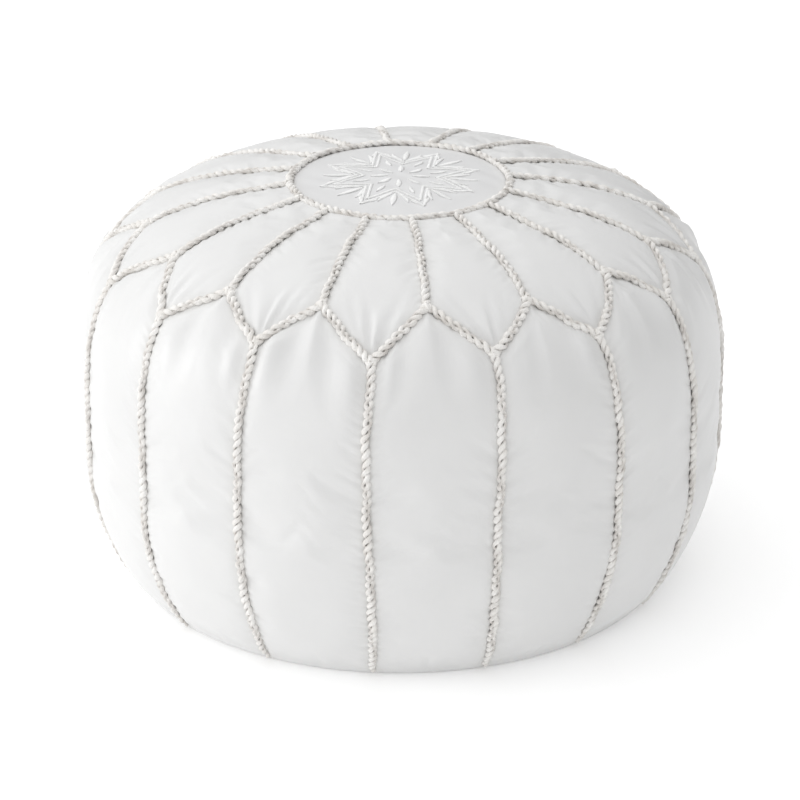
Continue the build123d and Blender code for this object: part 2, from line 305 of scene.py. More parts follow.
def sample_puff(angle, s):
    """The simulated puff at any place on the cover."""
    rows, columns = puff.shape
    bend = zigzag(angle)
    row = np.where(s < bend, (s - S_RING) / (bend - S_RING) * CROWN_ROWS,
                   CROWN_ROWS + (s - bend) / (S_BASE - bend) * SIDE_ROWS)
    column = angle / (2 * math.pi) * columns
    i, j = np.floor(row).astype(int), np.floor(column).astype(int)
    wi, wj = cubic_weights(row - i), cubic_weights(column - j)
    total = np.zeros_like(row)
    for a in range(4):
        near_row = np.clip(i + a - 1, 0, rows - 1)
        for b in range(4):
            total += wi[a] * wj[b] * puff[near_row, (j + b - 1) % columns]
    return total


GATHER_PITCH = 7.6 * MM
GATHER_HEIGHT = 0.7 * MM
GATHER_REACH = 8.5 * MM
TUCK_DEPTH = 1.3 * MM
TUCK_REACH = 3.2 * MM
FOLD_REACH = 46 * MM
FOLD_HEIGHT = 2.6 * MM
FOLD_WAVES = 4.0
EAR_HEIGHT = 4.4 * MM
EAR_REACH = 52 * MM


def tip_folds(angle, s):
    """Long soft folds that run into each petal's point and hang under the zigzag."""
    t = from_radial(angle)
    bend = zigzag(angle)
    above = np.clip((bend - s) / FOLD_REACH, 0, 1)
    below = np.clip((s - bend) / (1.6 * FOLD_REACH), 0, 1)
    strength = np.sin(3 * angle + 1.3) * 0.35 + 0.75
    rays = np.sin(FOLD_WAVES * (t - 1) * math.pi / (0.35 + above) + 5 * np.sin(7 * angle))
    hanging = np.sin(2.6 * math.pi * t + 4 * np.sin(5 * angle + 2))
    fold = np.where(s < bend, rays * np.sin(math.pi * np.sqrt(above)) * t**2,
                    0.8 * hanging * np.sin(math.pi * np.sqrt(below)))
    down = np.clip((s - bend) / EAR_REACH, 0, 1)
    beside = (t - 0.7 - 0.06 * np.sin(9 * angle)) / 0.11
    ear = np.exp(-(beside**2)) * np.sin(math.pi * down**0.7) * (s > bend)
    return FOLD_HEIGHT * strength * fold + EAR_HEIGHT * (0.7 + 0.4 * np.sin(11 * angle + 1)) * ear


def leather_lift(angle, s):
    """Height of the leather off the outline: puff, folds, gathers, and the tuck into the seams."""
    across, bend_gap = seam_gaps(angle, s)
    gap = np.minimum(across, bend_gap)
    along = np.where(across < bend_gap, s, angle * np.interp(s, ARC, OUT_R))
    ripple = np.sin(2 * math.pi * along / GATHER_PITCH + 3 * np.sin(40 * angle))
    standing = np.clip(np.interp(s, ARC, OUT_Z) / (14 * MM), 0, 1)
    lift = sample_puff(angle, s) + tip_folds(angle, s) * (1 - np.exp(-gap / GATHER_REACH))
    lift = lift + GATHER_HEIGHT * ripple * np.exp(-gap / GATHER_REACH)
    return lift * standing - TUCK_DEPTH * np.exp(-gap / TUCK_REACH) * np.clip(standing + 0.3, 0, 1)


print("lift at two places:", np.round(leather_lift(np.array([0.1, 0.2]), np.array([0.2, 0.3])) / MM, 2), "mm")

# %% [markdown]
# ## White leather
# The leather is thin dyed goat skin: satin rather than shiny, with a very fine grain and a few soft creases.
# Next to the seams it turns warmer and darker, partly the tan of the cut edges and partly painted shade
# beside the raised cords. The grain and creases are bump from noise in object coordinates. The tan and the
# painted shade follow an attribute that the mesh carries, 1 at a seam and 0 away.

# %% Helpers that wire up a material
def new_material(name):
    """A material and its node tree, with the shader ready to take links."""
    material = bpy.data.materials.new(name)
    material.use_nodes = True
    tree = material.node_tree
    return material, tree, tree.nodes["Principled BSDF"]


def add_node(tree, kind, **settings):
    """A node with its inputs set by name."""
    node = tree.nodes.new(kind)
    for name, value in settings.items():
        if name in node.inputs:
            node.inputs[name].default_value = value
        else:
            setattr(node, name, value)
    return node


def texture_space(tree, stretch=(1, 1, 1)):
    """Object coordinates, stretched."""
    coordinates = tree.nodes.new("ShaderNodeTexCoord")
    mapping = tree.nodes.new("ShaderNodeMapping")
    mapping.inputs["Scale"].default_value = stretch
    tree.links.new(coordinates.outputs["Object"], mapping.inputs["Vector"])
    return mapping.outputs["Vector"]


def noise(tree, space, scale, detail=3.0, roughness=0.5, distortion=0.0):
    node = add_node(tree, "ShaderNodeTexNoise", Scale=scale, Detail=detail, Roughness=roughness,
                    Distortion=distortion)
    tree.links.new(space, node.inputs["Vector"])
    return node.outputs["Fac"]


def ramp(tree, value, stops):
    """A colour ramp over a value; stops are positions with colours."""
    node = tree.nodes.new("ShaderNodeValToRGB")
    elements = node.color_ramp.elements
    while len(elements) < len(stops):
        elements.new(0.5)
    for element, (position, colour) in zip(elements, stops):
        element.position = position
        element.color = (*colour, 1)
    tree.links.new(value, node.inputs["Fac"])
    return node.outputs["Color"]


def mix_colour(tree, factor, first, second):
    node = tree.nodes.new("ShaderNodeMix")
    node.data_type = "RGBA"
    for name, value in (("Factor", factor), ("A", first), ("B", second)):
        sockets = [i for i in node.inputs if i.name == name and i.enabled]
        socket = sockets[0]
        if hasattr(value, "links"):
            tree.links.new(value, socket)
        elif name == "Factor":
            socket.default_value = value
        else:
            socket.default_value = (*value, 1)
    return [o for o in node.outputs if o.enabled][0]


def to_range(tree, value, low, high):
    """A 0 to 1 value spread over a range."""
    node = tree.nodes.new("ShaderNodeMapRange")
    node.inputs["To Min"].default_value = low
    node.inputs["To Max"].default_value = high
    tree.links.new(value, node.inputs["Value"])
    return node.outputs["Result"]


def bump(tree, height, depth, strength, before=None):
    """A bump of a real depth, on top of an earlier one."""
    node = add_node(tree, "ShaderNodeBump", Strength=strength, Distance=depth)
    tree.links.new(height, node.inputs["Height"])
    if before is not None:
        tree.links.new(before, node.inputs["Normal"])
    return node.outputs["Normal"]


# %% Mix the leather
def leather_material(name, light, shade, edge_tan_and_shade):
    material, tree, shader = new_material(name)
    space = texture_space(tree)
    blotch = noise(tree, space, 14, 4)
    colour = ramp(tree, blotch, [(0.3, shade), (0.7, light)])
    # painted shade: near the seams the colour blends towards a warmer, darker tone, the tan of the cut edges
    # together with shade beside the cords
    near = add_node(tree, "ShaderNodeAttribute", attribute_name="seam").outputs["Fac"]
    colour = mix_colour(tree, near, colour, edge_tan_and_shade)
    tree.links.new(colour, shader.inputs["Base Color"])
    tree.links.new(to_range(tree, noise(tree, space, 45, 5), 0.3, 0.48), shader.inputs["Roughness"])
    pores = add_node(tree, "ShaderNodeTexVoronoi", Scale=1150, Randomness=1.0)
    tree.links.new(space, pores.inputs["Vector"])
    normal = bump(tree, noise(tree, space, 26, 4, 0.55, 0.8), 1.6 * MM, 0.3)
    drawn = noise(tree, texture_space(tree, (1, 1, 0.35)), 120, 6, 0.6, 1.2)
    normal = bump(tree, drawn, 0.5 * MM, 0.2, normal)
    normal = bump(tree, pores.outputs["Distance"], 0.12 * MM, 0.22, normal)
    tree.links.new(normal, shader.inputs["Normal"])
    shader.inputs["Specular IOR Level"].default_value = 0.42
    shader.inputs["Sheen Weight"].default_value = 0.05
    return material


# the third colour of each leather is the tan edge tone mixed with painted shade
white_leather = leather_material("white_leather", (0.775, 0.775, 0.772), (0.74, 0.74, 0.737),
                                 (0.7, 0.69, 0.66))
base_leather = leather_material("base_leather", (0.75, 0.745, 0.73), (0.71, 0.705, 0.69), (0.62, 0.6, 0.57))
print("leather materials:", white_leather.name, base_leather.name)

# %% [markdown]
# ## Cutting the panels
# Each petal and each side panel is its own piece of leather: a patch of the fine grid, given its thickness
# inwards with a Solidify modifier, so that it is a closed shell with a cut edge.

# %% Cut the petals and side panels
FINE_COLUMNS = 28
FINE_CROWN_ROWS = 62
FINE_SIDE_ROWS = 168
COLUMN_BUNCH = 0.45


def finish_piece(piece, material, body="cover", replaced=()):
    """Give a piece its material, hide the imported parts that it replaces, and set the body that it rides on.
    """
    piece.data.materials.clear()
    piece.data.materials.append(material)
    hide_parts(*replaced)
    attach(piece, body)
    return piece


def thicken(piece, thickness):
    """Leather thickness, inwards from the outer face."""
    modifier = piece.modifiers.new("thickness", "SOLIDIFY")
    modifier.thickness = thickness
    modifier.offset = -1
    return piece


def carry_value(piece, name, values):
    attribute = piece.data.attributes.new(name, "FLOAT", "POINT")
    attribute.data.foreach_set("value", np.asarray(values, np.float32).ravel())


def carry_vector(piece, name, values):
    attribute = piece.data.attributes.new(name, "FLOAT_VECTOR", "POINT")
    attribute.data.foreach_set("vector", np.asarray(values, np.float32).ravel())


def seam_tan_and_shade(gap, reach=3.5 * MM):
    """How much of the tan edge tone and painted shade the leather takes at a distance from a seam."""
    return 0.75 * np.exp(-gap / reach)


grid_angle, grid_s = cover_grid(FINE_COLUMNS, FINE_CROWN_ROWS, FINE_SIDE_ROWS, COLUMN_BUNCH)
grid_points, _ = place(grid_angle, grid_s, leather_lift(grid_angle, grid_s))
grid_points[..., 2] = np.maximum(grid_points[..., 2], 0)
# the seam value paints the tan edge tone and painted shade along every seam of the cover
grid_tan_and_shade = seam_tan_and_shade(np.minimum(*seam_gaps(grid_angle, grid_s)))


def cut_patch(name, rows, columns, replaced, material):
    """One leather panel: a block of rows and columns of the fine grid."""
    block = np.ix_(rows, columns)
    piece = mesh_object(name, grid_points[block], grid_faces(len(rows), len(columns), closed=False))
    carry_value(piece, "seam", grid_tan_and_shade[block])
    thicken(piece, leather)
    return finish_piece(piece, material, replaced=[replaced])


crown_rows = np.arange(FINE_CROWN_ROWS + 1)
side_rows = np.arange(FINE_CROWN_ROWS, FINE_CROWN_ROWS + FINE_SIDE_ROWS + 1)
across_panel = np.arange(FINE_COLUMNS + 1)
for k in range(PANELS):
    petal_columns = (k * FINE_COLUMNS + across_panel) % (PANELS * FINE_COLUMNS)
    panel_columns = (petal_columns - FINE_COLUMNS // 2) % (PANELS * FINE_COLUMNS)
    cut_patch(f"leather_petal_{k + 1:02d}", crown_rows, petal_columns, f"petal_{k + 1:02d}", white_leather)
    cut_patch(f"leather_side_{k + 1:02d}", side_rows, panel_columns, f"side_panel_{k + 1:02d}", white_leather)
print(2 * PANELS, "panels of about", FINE_COLUMNS * FINE_SIDE_ROWS, "faces")

# %% [markdown]
# ## The medallion
# The round centre is flatter and duller than the petals: it is backed and pulled tight while it is
# embroidered. Rings of points from the middle to the rim make the disc, with a slight quilted unevenness
# where the thread pulls at the leather.

# %% Cut the medallion
MEDALLION_RINGS = 46
MEDALLION_SPOKES = 224
QUILT = 0.35 * MM


def medallion_lift(angle, s):
    radius = np.interp(s, ARC, OUT_R)
    x, y = radius * np.cos(angle), radius * np.sin(angle)
    rim = np.exp(-(ring_radius - radius) / (5 * MM))
    wave = np.sin(x / (6.1 * MM) + 2 * np.sin(y / (17 * MM)))
    wave = wave * np.sin(y / (7.3 * MM) + 1.5 * np.sin(x / (13 * MM)))
    return QUILT * wave * (1 - rim) - TUCK_DEPTH * rim


def disc_grid(rings, spokes, s_edge):
    """Angles and distances of rings that shrink to the middle, without the middle point itself."""
    angle = np.broadcast_to(np.arange(spokes) * 2 * math.pi / spokes, (rings, spokes))
    s = np.broadcast_to((s_edge * np.arange(1, rings + 1) / rings)[:, None], (rings, spokes))
    return angle, s


def close_middle(points, faces, centre):
    """Adds a middle point and a fan of triangles to a ring grid."""
    count = points.shape[0] * points.shape[1]
    spokes = points.shape[1]
    fan = [(count, j, (j + 1) % spokes) for j in range(spokes)]
    return np.vstack([points.reshape(-1, 3), centre]), [*faces, *fan]


angle, s = disc_grid(MEDALLION_RINGS, MEDALLION_SPOKES, S_RING)
points, _ = place(angle, s, medallion_lift(angle, s))
disc_points, disc_faces = close_middle(points, grid_faces(*angle.shape), (0, 0, top_height))
medallion = mesh_object("leather_medallion", disc_points, disc_faces)
# the medallion's rim takes the tan edge tone and painted shade beside the ring cord
carry_value(medallion, "seam", np.append(seam_tan_and_shade(S_RING - s), 0))
thicken(medallion, leather)
medallion_leather = leather_material("medallion_leather", (0.74, 0.74, 0.742), (0.71, 0.71, 0.712),
                                     (0.68, 0.67, 0.65))
finish_piece(medallion, medallion_leather, replaced=["top_medallion"])
print("medallion with", len(disc_faces), "faces")

# %% [markdown]
# ## Whipped seams
# Along every seam the two leather edges are rolled together and whipped over with soft cord, which reads as a
# fat, uneven twist of two strands. A twist follows a rule: each strand swings from side to side, half a turn
# from the other, and is highest and fattest as it crosses over. Geometry Nodes can apply that rule to any
# path, so the seams are drawn as bare paths with their outward directions, and one tree turns them all into
# cord. It also marks how deep in the groove each strand is, so that the cord's material can paint shade into
# the grooves.

# %% Helpers that build node trees for geometry
def new_tree(name, inputs):
    """A geometry tree with named inputs; gives the tree and its group input."""
    tree = bpy.data.node_groups.new(name, "GeometryNodeTree")
    tree.interface.new_socket("Geometry", in_out="INPUT", socket_type="NodeSocketGeometry")
    for label, kind, value in inputs:
        socket = tree.interface.new_socket(label, in_out="INPUT", socket_type="NodeSocket" + kind)
        if value is not None:
            socket.default_value = value
    tree.interface.new_socket("Geometry", in_out="OUTPUT", socket_type="NodeSocketGeometry")
    return tree, tree.nodes.new("NodeGroupInput")


def step(tree, kind, inputs, **settings):
    """A node with settings, and with links or values put into its sockets by name or number."""
    node = tree.nodes.new(kind)
    for name, value in settings.items():
        setattr(node, name, value)
    for key, value in inputs.items():
        socket = node.inputs[key]
        if isinstance(value, bpy.types.NodeSocket):
            tree.links.new(value, socket)
        else:
            socket.default_value = value
    return node


def calc(tree, operation, first, second=0.0, third=0.5):
    return step(tree, "ShaderNodeMath", {0: first, 1: second, 2: third}, operation=operation).outputs[0]


def vector_calc(tree, operation, first, second):
    return step(tree, "ShaderNodeVectorMath", {0: first, 1: second}, operation=operation).outputs[0]


def scaled(tree, vector, factor):
    return step(tree, "ShaderNodeVectorMath", {0: vector, "Scale": factor}, operation="SCALE").outputs[0]


def named(tree, name, kind):
    return step(tree, "GeometryNodeInputNamedAttribute", {"Name": name}, data_type=kind).outputs["Attribute"]


def stored(tree, geometry, name, value):
    """Geometry with a value kept on its points."""
    return step(tree, "GeometryNodeStoreNamedAttribute", {"Geometry": geometry, "Name": name, "Value": value},
                data_type="FLOAT", domain="POINT").outputs[0]


def close_tree(tree, geometry, material):
    """Real geometry with its material, as the tree's result."""
    real = step(tree, "GeometryNodeRealizeInstances", {"Geometry": geometry}).outputs[0]
    smooth = step(tree, "GeometryNodeSetShadeSmooth", {0: real}).outputs[0]
    painted = step(tree, "GeometryNodeSetMaterial", {"Geometry": smooth, "Material": material}).outputs[0]
    step(tree, "NodeGroupOutput", {0: painted})


def run_tree(name, source, tree, values):
    """Run a tree on an object, keep its result as a plain mesh, and drop the source."""
    modifier = source.modifiers.new("nodes", "NODES")
    modifier.node_group = tree
    for item in tree.interface.items_tree:
        if item.in_out == "INPUT" and item.name in values:
            modifier[item.identifier] = values[item.name]
    source.update_tag()
    bpy.context.view_layer.update()
    graph = bpy.context.evaluated_depsgraph_get()
    mesh = bpy.data.meshes.new_from_object(source.evaluated_get(graph), depsgraph=graph)
    mesh.name = name
    bpy.data.objects.remove(source)
    piece = bpy.data.objects.new(name, mesh)
    scene.collection.objects.link(piece)
    print(name, "has", sum(len(p.vertices) - 2 for p in mesh.polygons), "triangles")
    return piece


# %% The tree that twists cord along paths
def twist_tree():
    tree, given = new_tree("twist_along_path", [
        ("Step", "Float", 1.1 * MM), ("Strands", "Int", 2), ("Period", "Float", 14 * MM),
        ("Half width", "Float", 1.95 * MM), ("Half depth", "Float", 1.0 * MM),
        ("Cord radius", "Float", 1.75 * MM),
        ("Swell", "Float", 0.26), ("Unevenness", "Float", 2.0 * MM), ("Seed", "Float", 0.0),
        ("Material", "Material", None)])
    take = given.outputs
    paths = step(tree, "GeometryNodeMeshToCurve", {0: take["Geometry"]}).outputs[0]
    even = step(tree, "GeometryNodeResampleCurve", {"Curve": paths, "Length": take["Step"]},
                mode="LENGTH").outputs[0]
    copies = step(tree, "GeometryNodeDuplicateElements", {"Geometry": even, "Amount": take["Strands"]},
                  domain="SPLINE")
    length = tree.nodes.new("GeometryNodeSplineLength").outputs["Length"]
    place_on = tree.nodes.new("GeometryNodeSplineParameter")
    turns = calc(tree, "MAXIMUM", calc(tree, "ROUND", calc(tree, "DIVIDE", length, take["Period"])), 1.0)
    strand = calc(tree, "DIVIDE", copies.outputs["Duplicate Index"], take["Strands"])
    turned = calc(tree, "MULTIPLY", place_on.outputs["Factor"], turns)
    phase = calc(tree, "MULTIPLY", calc(tree, "ADD", turned, strand), 2 * math.pi)
    tangent = tree.nodes.new("GeometryNodeInputTangent").outputs[0]
    out = named(tree, "out", "FLOAT_VECTOR")
    side = vector_calc(tree, "NORMALIZE", vector_calc(tree, "CROSS_PRODUCT", tangent, out), (0, 0, 0))
    size = named(tree, "size", "FLOAT")
    reach = calc(tree, "MULTIPLY", take["Half width"], size)
    swing = calc(tree, "MULTIPLY", calc(tree, "SINE", phase), reach)
    over = calc(tree, "COSINE", phase)
    rise = calc(tree, "MULTIPLY", over, calc(tree, "MULTIPLY", take["Half depth"], size))
    here = tree.nodes.new("GeometryNodeInputPosition").outputs[0]
    moved = vector_calc(tree, "ADD", here, scaled(tree, side, take["Half width"]))
    rough = step(tree, "ShaderNodeTexNoise", {"Vector": moved, "W": calc(tree, "ADD", take["Seed"], strand),
                                              "Scale": 120.0, "Detail": 1.0}, noise_dimensions="4D")
    uneven = scaled(tree, vector_calc(tree, "SUBTRACT", rough.outputs["Color"], (0.5, 0.5, 0.5)),
                    take["Unevenness"])
    offset = vector_calc(tree, "ADD", vector_calc(tree, "ADD", scaled(tree, side, swing),
                                                  scaled(tree, out, rise)), uneven)
    laid = step(tree, "GeometryNodeSetPosition", {"Geometry": copies.outputs["Geometry"],
                                                  "Offset": offset}).outputs[0]
    thick = calc(tree, "MULTIPLY", calc(tree, "MULTIPLY", take["Cord radius"], size),
                 calc(tree, "ADD", calc(tree, "MULTIPLY", over, take["Swell"]),
                      calc(tree, "ADD", 0.72, calc(tree, "MULTIPLY", rough.outputs["Fac"], 0.5))))
    cord = stored(tree, laid, "along", place_on.outputs["Length"])
    # how deep in the groove each point is, read by the cord material to paint shade into the grooves
    cord = stored(tree, cord, "groove", calc(tree, "MULTIPLY_ADD", over, -0.5))
    ring = step(tree, "GeometryNodeCurvePrimitiveCircle", {"Resolution": 8, "Radius": 1.0},
                mode="RADIUS").outputs[0]
    ring = stored(tree, ring, "around", tree.nodes.new("GeometryNodeSplineParameter").outputs["Factor"])
    tubes = step(tree, "GeometryNodeCurveToMesh", {"Curve": cord, "Profile Curve": ring, "Scale": thick,
                                                   "Fill Caps": True}).outputs[0]
    close_tree(tree, tubes, take["Material"])
    return tree


TWIST = twist_tree()
print("twist tree with", len(TWIST.nodes), "nodes")


# %% Cord material: soft twisted cotton with a waxed bloom
def cord_material(name, light, dark, groove_shade_colour, ply_pitch, sheen):
    material, tree, shader = new_material(name)
    along = add_node(tree, "ShaderNodeAttribute", attribute_name="along").outputs["Fac"]
    around = add_node(tree, "ShaderNodeAttribute", attribute_name="around").outputs["Fac"]
    twist = calc(tree, "ADD", calc(tree, "DIVIDE", along, ply_pitch), calc(tree, "MULTIPLY", around, 3.0))
    ply = calc(tree, "ABSOLUTE", calc(tree, "SINE", calc(tree, "MULTIPLY", twist, math.pi)))
    space = texture_space(tree)
    tone = ramp(tree, noise(tree, space, 70, 3), [(0.3, dark), (0.62, light)])
    # painted shade: the valleys between the twisted plies are darkened towards the dark tone
    tone = mix_colour(tree, to_range(tree, ply, 0.3, 0.0), tone, dark)
    groove = add_node(tree, "ShaderNodeAttribute", attribute_name="groove").outputs["Fac"]
    # painted shade: the strands darken towards the groove shade colour where they sink into the groove
    groove_shade = calc(tree, "MULTIPLY", calc(tree, "POWER", groove, 2.5), 0.6)
    tree.links.new(mix_colour(tree, groove_shade, tone, groove_shade_colour), shader.inputs["Base Color"])
    normal = bump(tree, ply, 0.25 * MM, 0.5)
    normal = bump(tree, noise(tree, space, 2600, 2), 0.12 * MM, 0.4, normal)
    tree.links.new(normal, shader.inputs["Normal"])
    shader.inputs["Roughness"].default_value = 0.72
    shader.inputs["Sheen Weight"].default_value = sheen
    return material


# the third colour is the painted shade in the grooves
seam_cord = cord_material("seam_cord", (0.9, 0.888, 0.868), (0.78, 0.755, 0.72), (0.5, 0.465, 0.43),
                          1.9 * MM, 0.25)
print("cord material:", seam_cord.name)

# %% [markdown]
# The paths are lists of places on the pattern. Each carries its outward direction and a size that lets a seam
# swell a little or thin out where it is pressed against the floor.

# %% Draw the seam paths
SEAM_LIFT = 1.0 * MM
PATH_STEP = 3 * MM


def path_mesh(name, chains, closed=False):
    """Chains of (points, outward directions, sizes) as one object of bare edges."""
    points, outs, sizes, edges = [], [], [], []
    for chain_points, chain_outs, chain_sizes in chains:
        first = len(points)
        count = len(chain_points)
        points += [tuple(p) for p in chain_points]
        outs += [tuple(o) for o in chain_outs]
        sizes += list(chain_sizes)
        edges += [(first + i, first + i + 1) for i in range(count - 1)]
        if closed:
            edges.append((first + count - 1, first))
    mesh = bpy.data.meshes.new(name)
    mesh.from_pydata(points, edges, [])
    source = bpy.data.objects.new(name, mesh)
    scene.collection.objects.link(source)
    carry_vector(source, "out", outs)
    carry_value(source, "size", sizes)
    return source


WOBBLE = 0.45 * MM


def seam_chain(angle, s, size=0.92, lift=SEAM_LIFT):
    """Places along a seam, each a little off its line as hand stitches are."""
    angle, s, size, lift = np.broadcast_arrays(angle, s, size, lift)
    across = np.sin(s / (4.7 * MM) + 31 * angle) + np.sin(s / (11.3 * MM) + 17 * angle)
    down = np.sin(83 * angle) + np.sin(47 * angle + 1)
    angle, s = angle + WOBBLE * across / np.interp(s, ARC, OUT_R), s + WOBBLE * down
    points, outs = place(angle, s, lift)
    return points, outs, size


def straight_run(start, end):
    return np.linspace(start, end, max(2, int(abs(end - start) / PATH_STEP) + 1))


def circle_chain(s, size=1.0, lift=SEAM_LIFT):
    return seam_chain(np.linspace(0, 2 * math.pi, 240, endpoint=False), s, size, lift)


def radial_chain(k):
    angle = k * PITCH
    return seam_chain(angle, straight_run(S_RING + 3 * MM, float(zigzag(angle)) - MM))


def zigzag_chain(k, side):
    start = k * PITCH
    angle = np.linspace(start, start + side * PITCH / 2, 24)
    return seam_chain(angle, zigzag(angle), 1.04)


S_FOOT = float(ARC[widest + int(np.argmax(OUT_Z[widest:] < 5 * MM))])
FOOT_FADE = 28 * MM
FLOOR_GAP = 0.1 * MM


def side_chain(k):
    angle = (k + 0.5) * PITCH
    s = straight_run(float(zigzag(angle)) + MM, S_FOOT)
    press = np.clip((S_FOOT - s) / FOOT_FADE, 0, 1)
    return seam_chain(angle, s, 0.75 + 0.25 * press, SEAM_LIFT * press)


def sew(name, chains, replaced, seed, closed=False, **sizes):
    source = path_mesh(name + "_path", chains, closed)
    values = {"Seed": float(seed), "Material": seam_cord, **sizes}
    cord = run_tree(name, source, TWIST, values)
    for vertex in cord.data.vertices:
        vertex.co.z = max(vertex.co.z, FLOOR_GAP)
    return finish_piece(cord, seam_cord, replaced=[replaced])


sew("cord_ring", [circle_chain(S_RING, 0.95)], "medallion_seam", 1, closed=True)
sew("cord_petals", [radial_chain(k) for k in range(PANELS)], "petal_seams", 2)
sew("cord_zigzag", [zigzag_chain(k, side) for k in range(PANELS) for side in (-1, 1)], "chevron_seam", 3)
sew("cord_sides", [side_chain(k) for k in range(PANELS)], "side_seams", 4)
BASE_CORD_LIFT = 1.5 * MM
sew("cord_base", [circle_chain(S_BASE, 0.8, BASE_CORD_LIFT)], "base_seam", 5, closed=True)

# %% [markdown]
# ## Knots
# Where three seams meet, the cords are drawn into one another in a small knot. A trefoil is the simplest knot
# with three lobes, so it looks right from all three seams. It is made once and set on the corners by a tree.

# %% The tree that sets one item on points or along paths
def set_items_tree(name, along_paths):
    tree, given = new_tree(name, [
        ("Pitch", "Float", 4 * MM), ("Slant", "Float", 0.0), ("Loose turn", "Float", 0.1), ("Seed", "Int", 0),
        ("Item", "Object", None), ("Material", "Material", None)])
    take = given.outputs
    if along_paths:
        paths = step(tree, "GeometryNodeMeshToCurve", {0: take["Geometry"]}).outputs[0]
        spots = step(tree, "GeometryNodeResampleCurve", {"Curve": paths, "Length": take["Pitch"]},
                     mode="LENGTH").outputs[0]
        forward = tree.nodes.new("GeometryNodeInputTangent").outputs[0]
    else:
        spots, forward = take["Geometry"], named(tree, "forward", "FLOAT_VECTOR")
    aim = step(tree, "FunctionNodeAxesToRotation", {"Primary Axis": named(tree, "out", "FLOAT_VECTOR"),
                                                    "Secondary Axis": forward},
               primary_axis="Z", secondary_axis="X").outputs[0]
    loose = step(tree, "FunctionNodeRandomValue", {"Min": -1.0, "Max": 1.0, "Seed": take["Seed"]},
                 data_type="FLOAT")
    loose = [o for o in loose.outputs if o.enabled][0]
    angle = calc(tree, "ADD", take["Slant"], calc(tree, "MULTIPLY", loose, take["Loose turn"]))
    turn = step(tree, "FunctionNodeAxisAngleToRotation", {"Axis": (0, 0, 1), "Angle": angle}).outputs[0]
    aim = step(tree, "FunctionNodeRotateRotation", {"Rotation": aim, "Rotate By": turn},
               rotation_space="LOCAL").outputs[0]
    item = step(tree, "GeometryNodeObjectInfo", {"Object": take["Item"]}).outputs["Geometry"]
    scale = step(tree, "ShaderNodeCombineXYZ", {"X": 1.0, "Y": named(tree, "size", "FLOAT"),
                                                "Z": 1.0}).outputs[0]
    items = step(tree, "GeometryNodeInstanceOnPoints", {"Points": spots, "Instance": item, "Rotation": aim,
                                                        "Scale": scale}).outputs[0]
    close_tree(tree, items, take["Material"])
    return tree


SET_ALONG = set_items_tree("set_along_paths", True)
SET_ON = set_items_tree("set_on_points", False)
print("trees that set items:", SET_ALONG.name, SET_ON.name)


# %% Tie a knot at each corner of the zigzag
def tube_rings(centres, radius, sides, closed):
    """Points and faces of a round tube through a row of centres."""
    centres = np.asarray(centres, float)
    if closed:
        ahead = np.roll(centres, -1, 0) - np.roll(centres, 1, 0)
    else:
        ahead = np.gradient(centres, axis=0)
    ahead /= np.linalg.norm(ahead, axis=1, keepdims=True)
    up = np.array([0.0, 0.0, 1.0])
    side = np.cross(ahead, up)
    side /= np.linalg.norm(side, axis=1, keepdims=True)
    top = np.cross(side, ahead)
    turn = np.arange(sides) * 2 * math.pi / sides
    ring = radius * (np.cos(turn)[None, :, None] * side[:, None] + np.sin(turn)[None, :, None] * top[:, None])
    points = centres[:, None] + ring
    count = len(centres)
    faces = []
    for i in range(count if closed else count - 1):
        for j in range(sides):
            a, b = i * sides + j, i * sides + (j + 1) % sides
            k = (i + 1) % count * sides
            faces.append((a, b, k + (j + 1) % sides, k + j))
    if not closed:
        faces += [list(range(sides))[::-1], list(range((count - 1) * sides, count * sides))]
    return points.reshape(-1, 3), faces


KNOT_SIZE = 1.35 * MM
KNOT_CORD = 1.35 * MM


def trefoil():
    t = np.linspace(0, 2 * math.pi, 42, endpoint=False)
    return np.stack([KNOT_SIZE * (np.sin(t) + 2 * np.sin(2 * t)) * 0.85,
                     KNOT_SIZE * (np.cos(t) - 2 * np.cos(2 * t)) * 0.85,
                     -0.75 * KNOT_SIZE * np.sin(3 * t)], axis=-1)


def hidden_item(name, points, faces):
    """An item for a tree to copy. It isn't a piece, so it is removed once the tree has run."""
    item = mesh_object(name, points, faces)
    item.hide_render = True
    return item


def fix_normals(piece):
    work = bmesh.new()
    work.from_mesh(piece.data)
    bmesh.ops.recalc_face_normals(work, faces=work.faces)
    work.to_mesh(piece.data)
    work.free()


knot_item = hidden_item("knot_item", *tube_rings(trefoil(), KNOT_CORD, 8, closed=True))
fix_normals(knot_item)
corner_angle = np.concatenate([np.arange(PANELS) * PITCH, (np.arange(PANELS) + 0.5) * PITCH])
knot_points, knot_outs, knot_sizes = seam_chain(corner_angle, zigzag(corner_angle), 1.0, 1.3 * MM)
corners = path_mesh("knot_corners", [([p], [o], [z]) for p, o, z in zip(knot_points, knot_outs, knot_sizes)])
downhill = np.stack([np.cos(corner_angle), np.sin(corner_angle), -np.ones_like(corner_angle)], axis=-1)
carry_vector(corners, "forward", downhill)
knots = run_tree("cord_knots", corners, SET_ON, {"Item": knot_item, "Material": seam_cord, "Seed": 7,
                                                 "Loose turn": 0.5})
bpy.data.objects.remove(knot_item)
finish_piece(knots, seam_cord, replaced=["seam_knots"])

# %% [markdown]
# ## Silk embroidery
# The medallion carries an eight-pointed star in a double line, a sprig of five leaves between its points,
# and a rosette in its middle, all in satin stitch: short, glossy threads laid side by side across each
# shape. So each shape is only a spine with a width, and the tree lays a thread across it every half
# millimetre.

# %% Draw the spines of the motifs
STAR_TURN = math.radians(11)
STAR_POINTS = 8
STAR_TIP, STAR_NOTCH = 65 * MM, 34.5 * MM
STAR_ROWS = (1.0, 0.84)
LINE_HALF = 1.35 * MM
SILK_LIFT = 0.25 * MM
THREAD_PITCH = 0.5 * MM


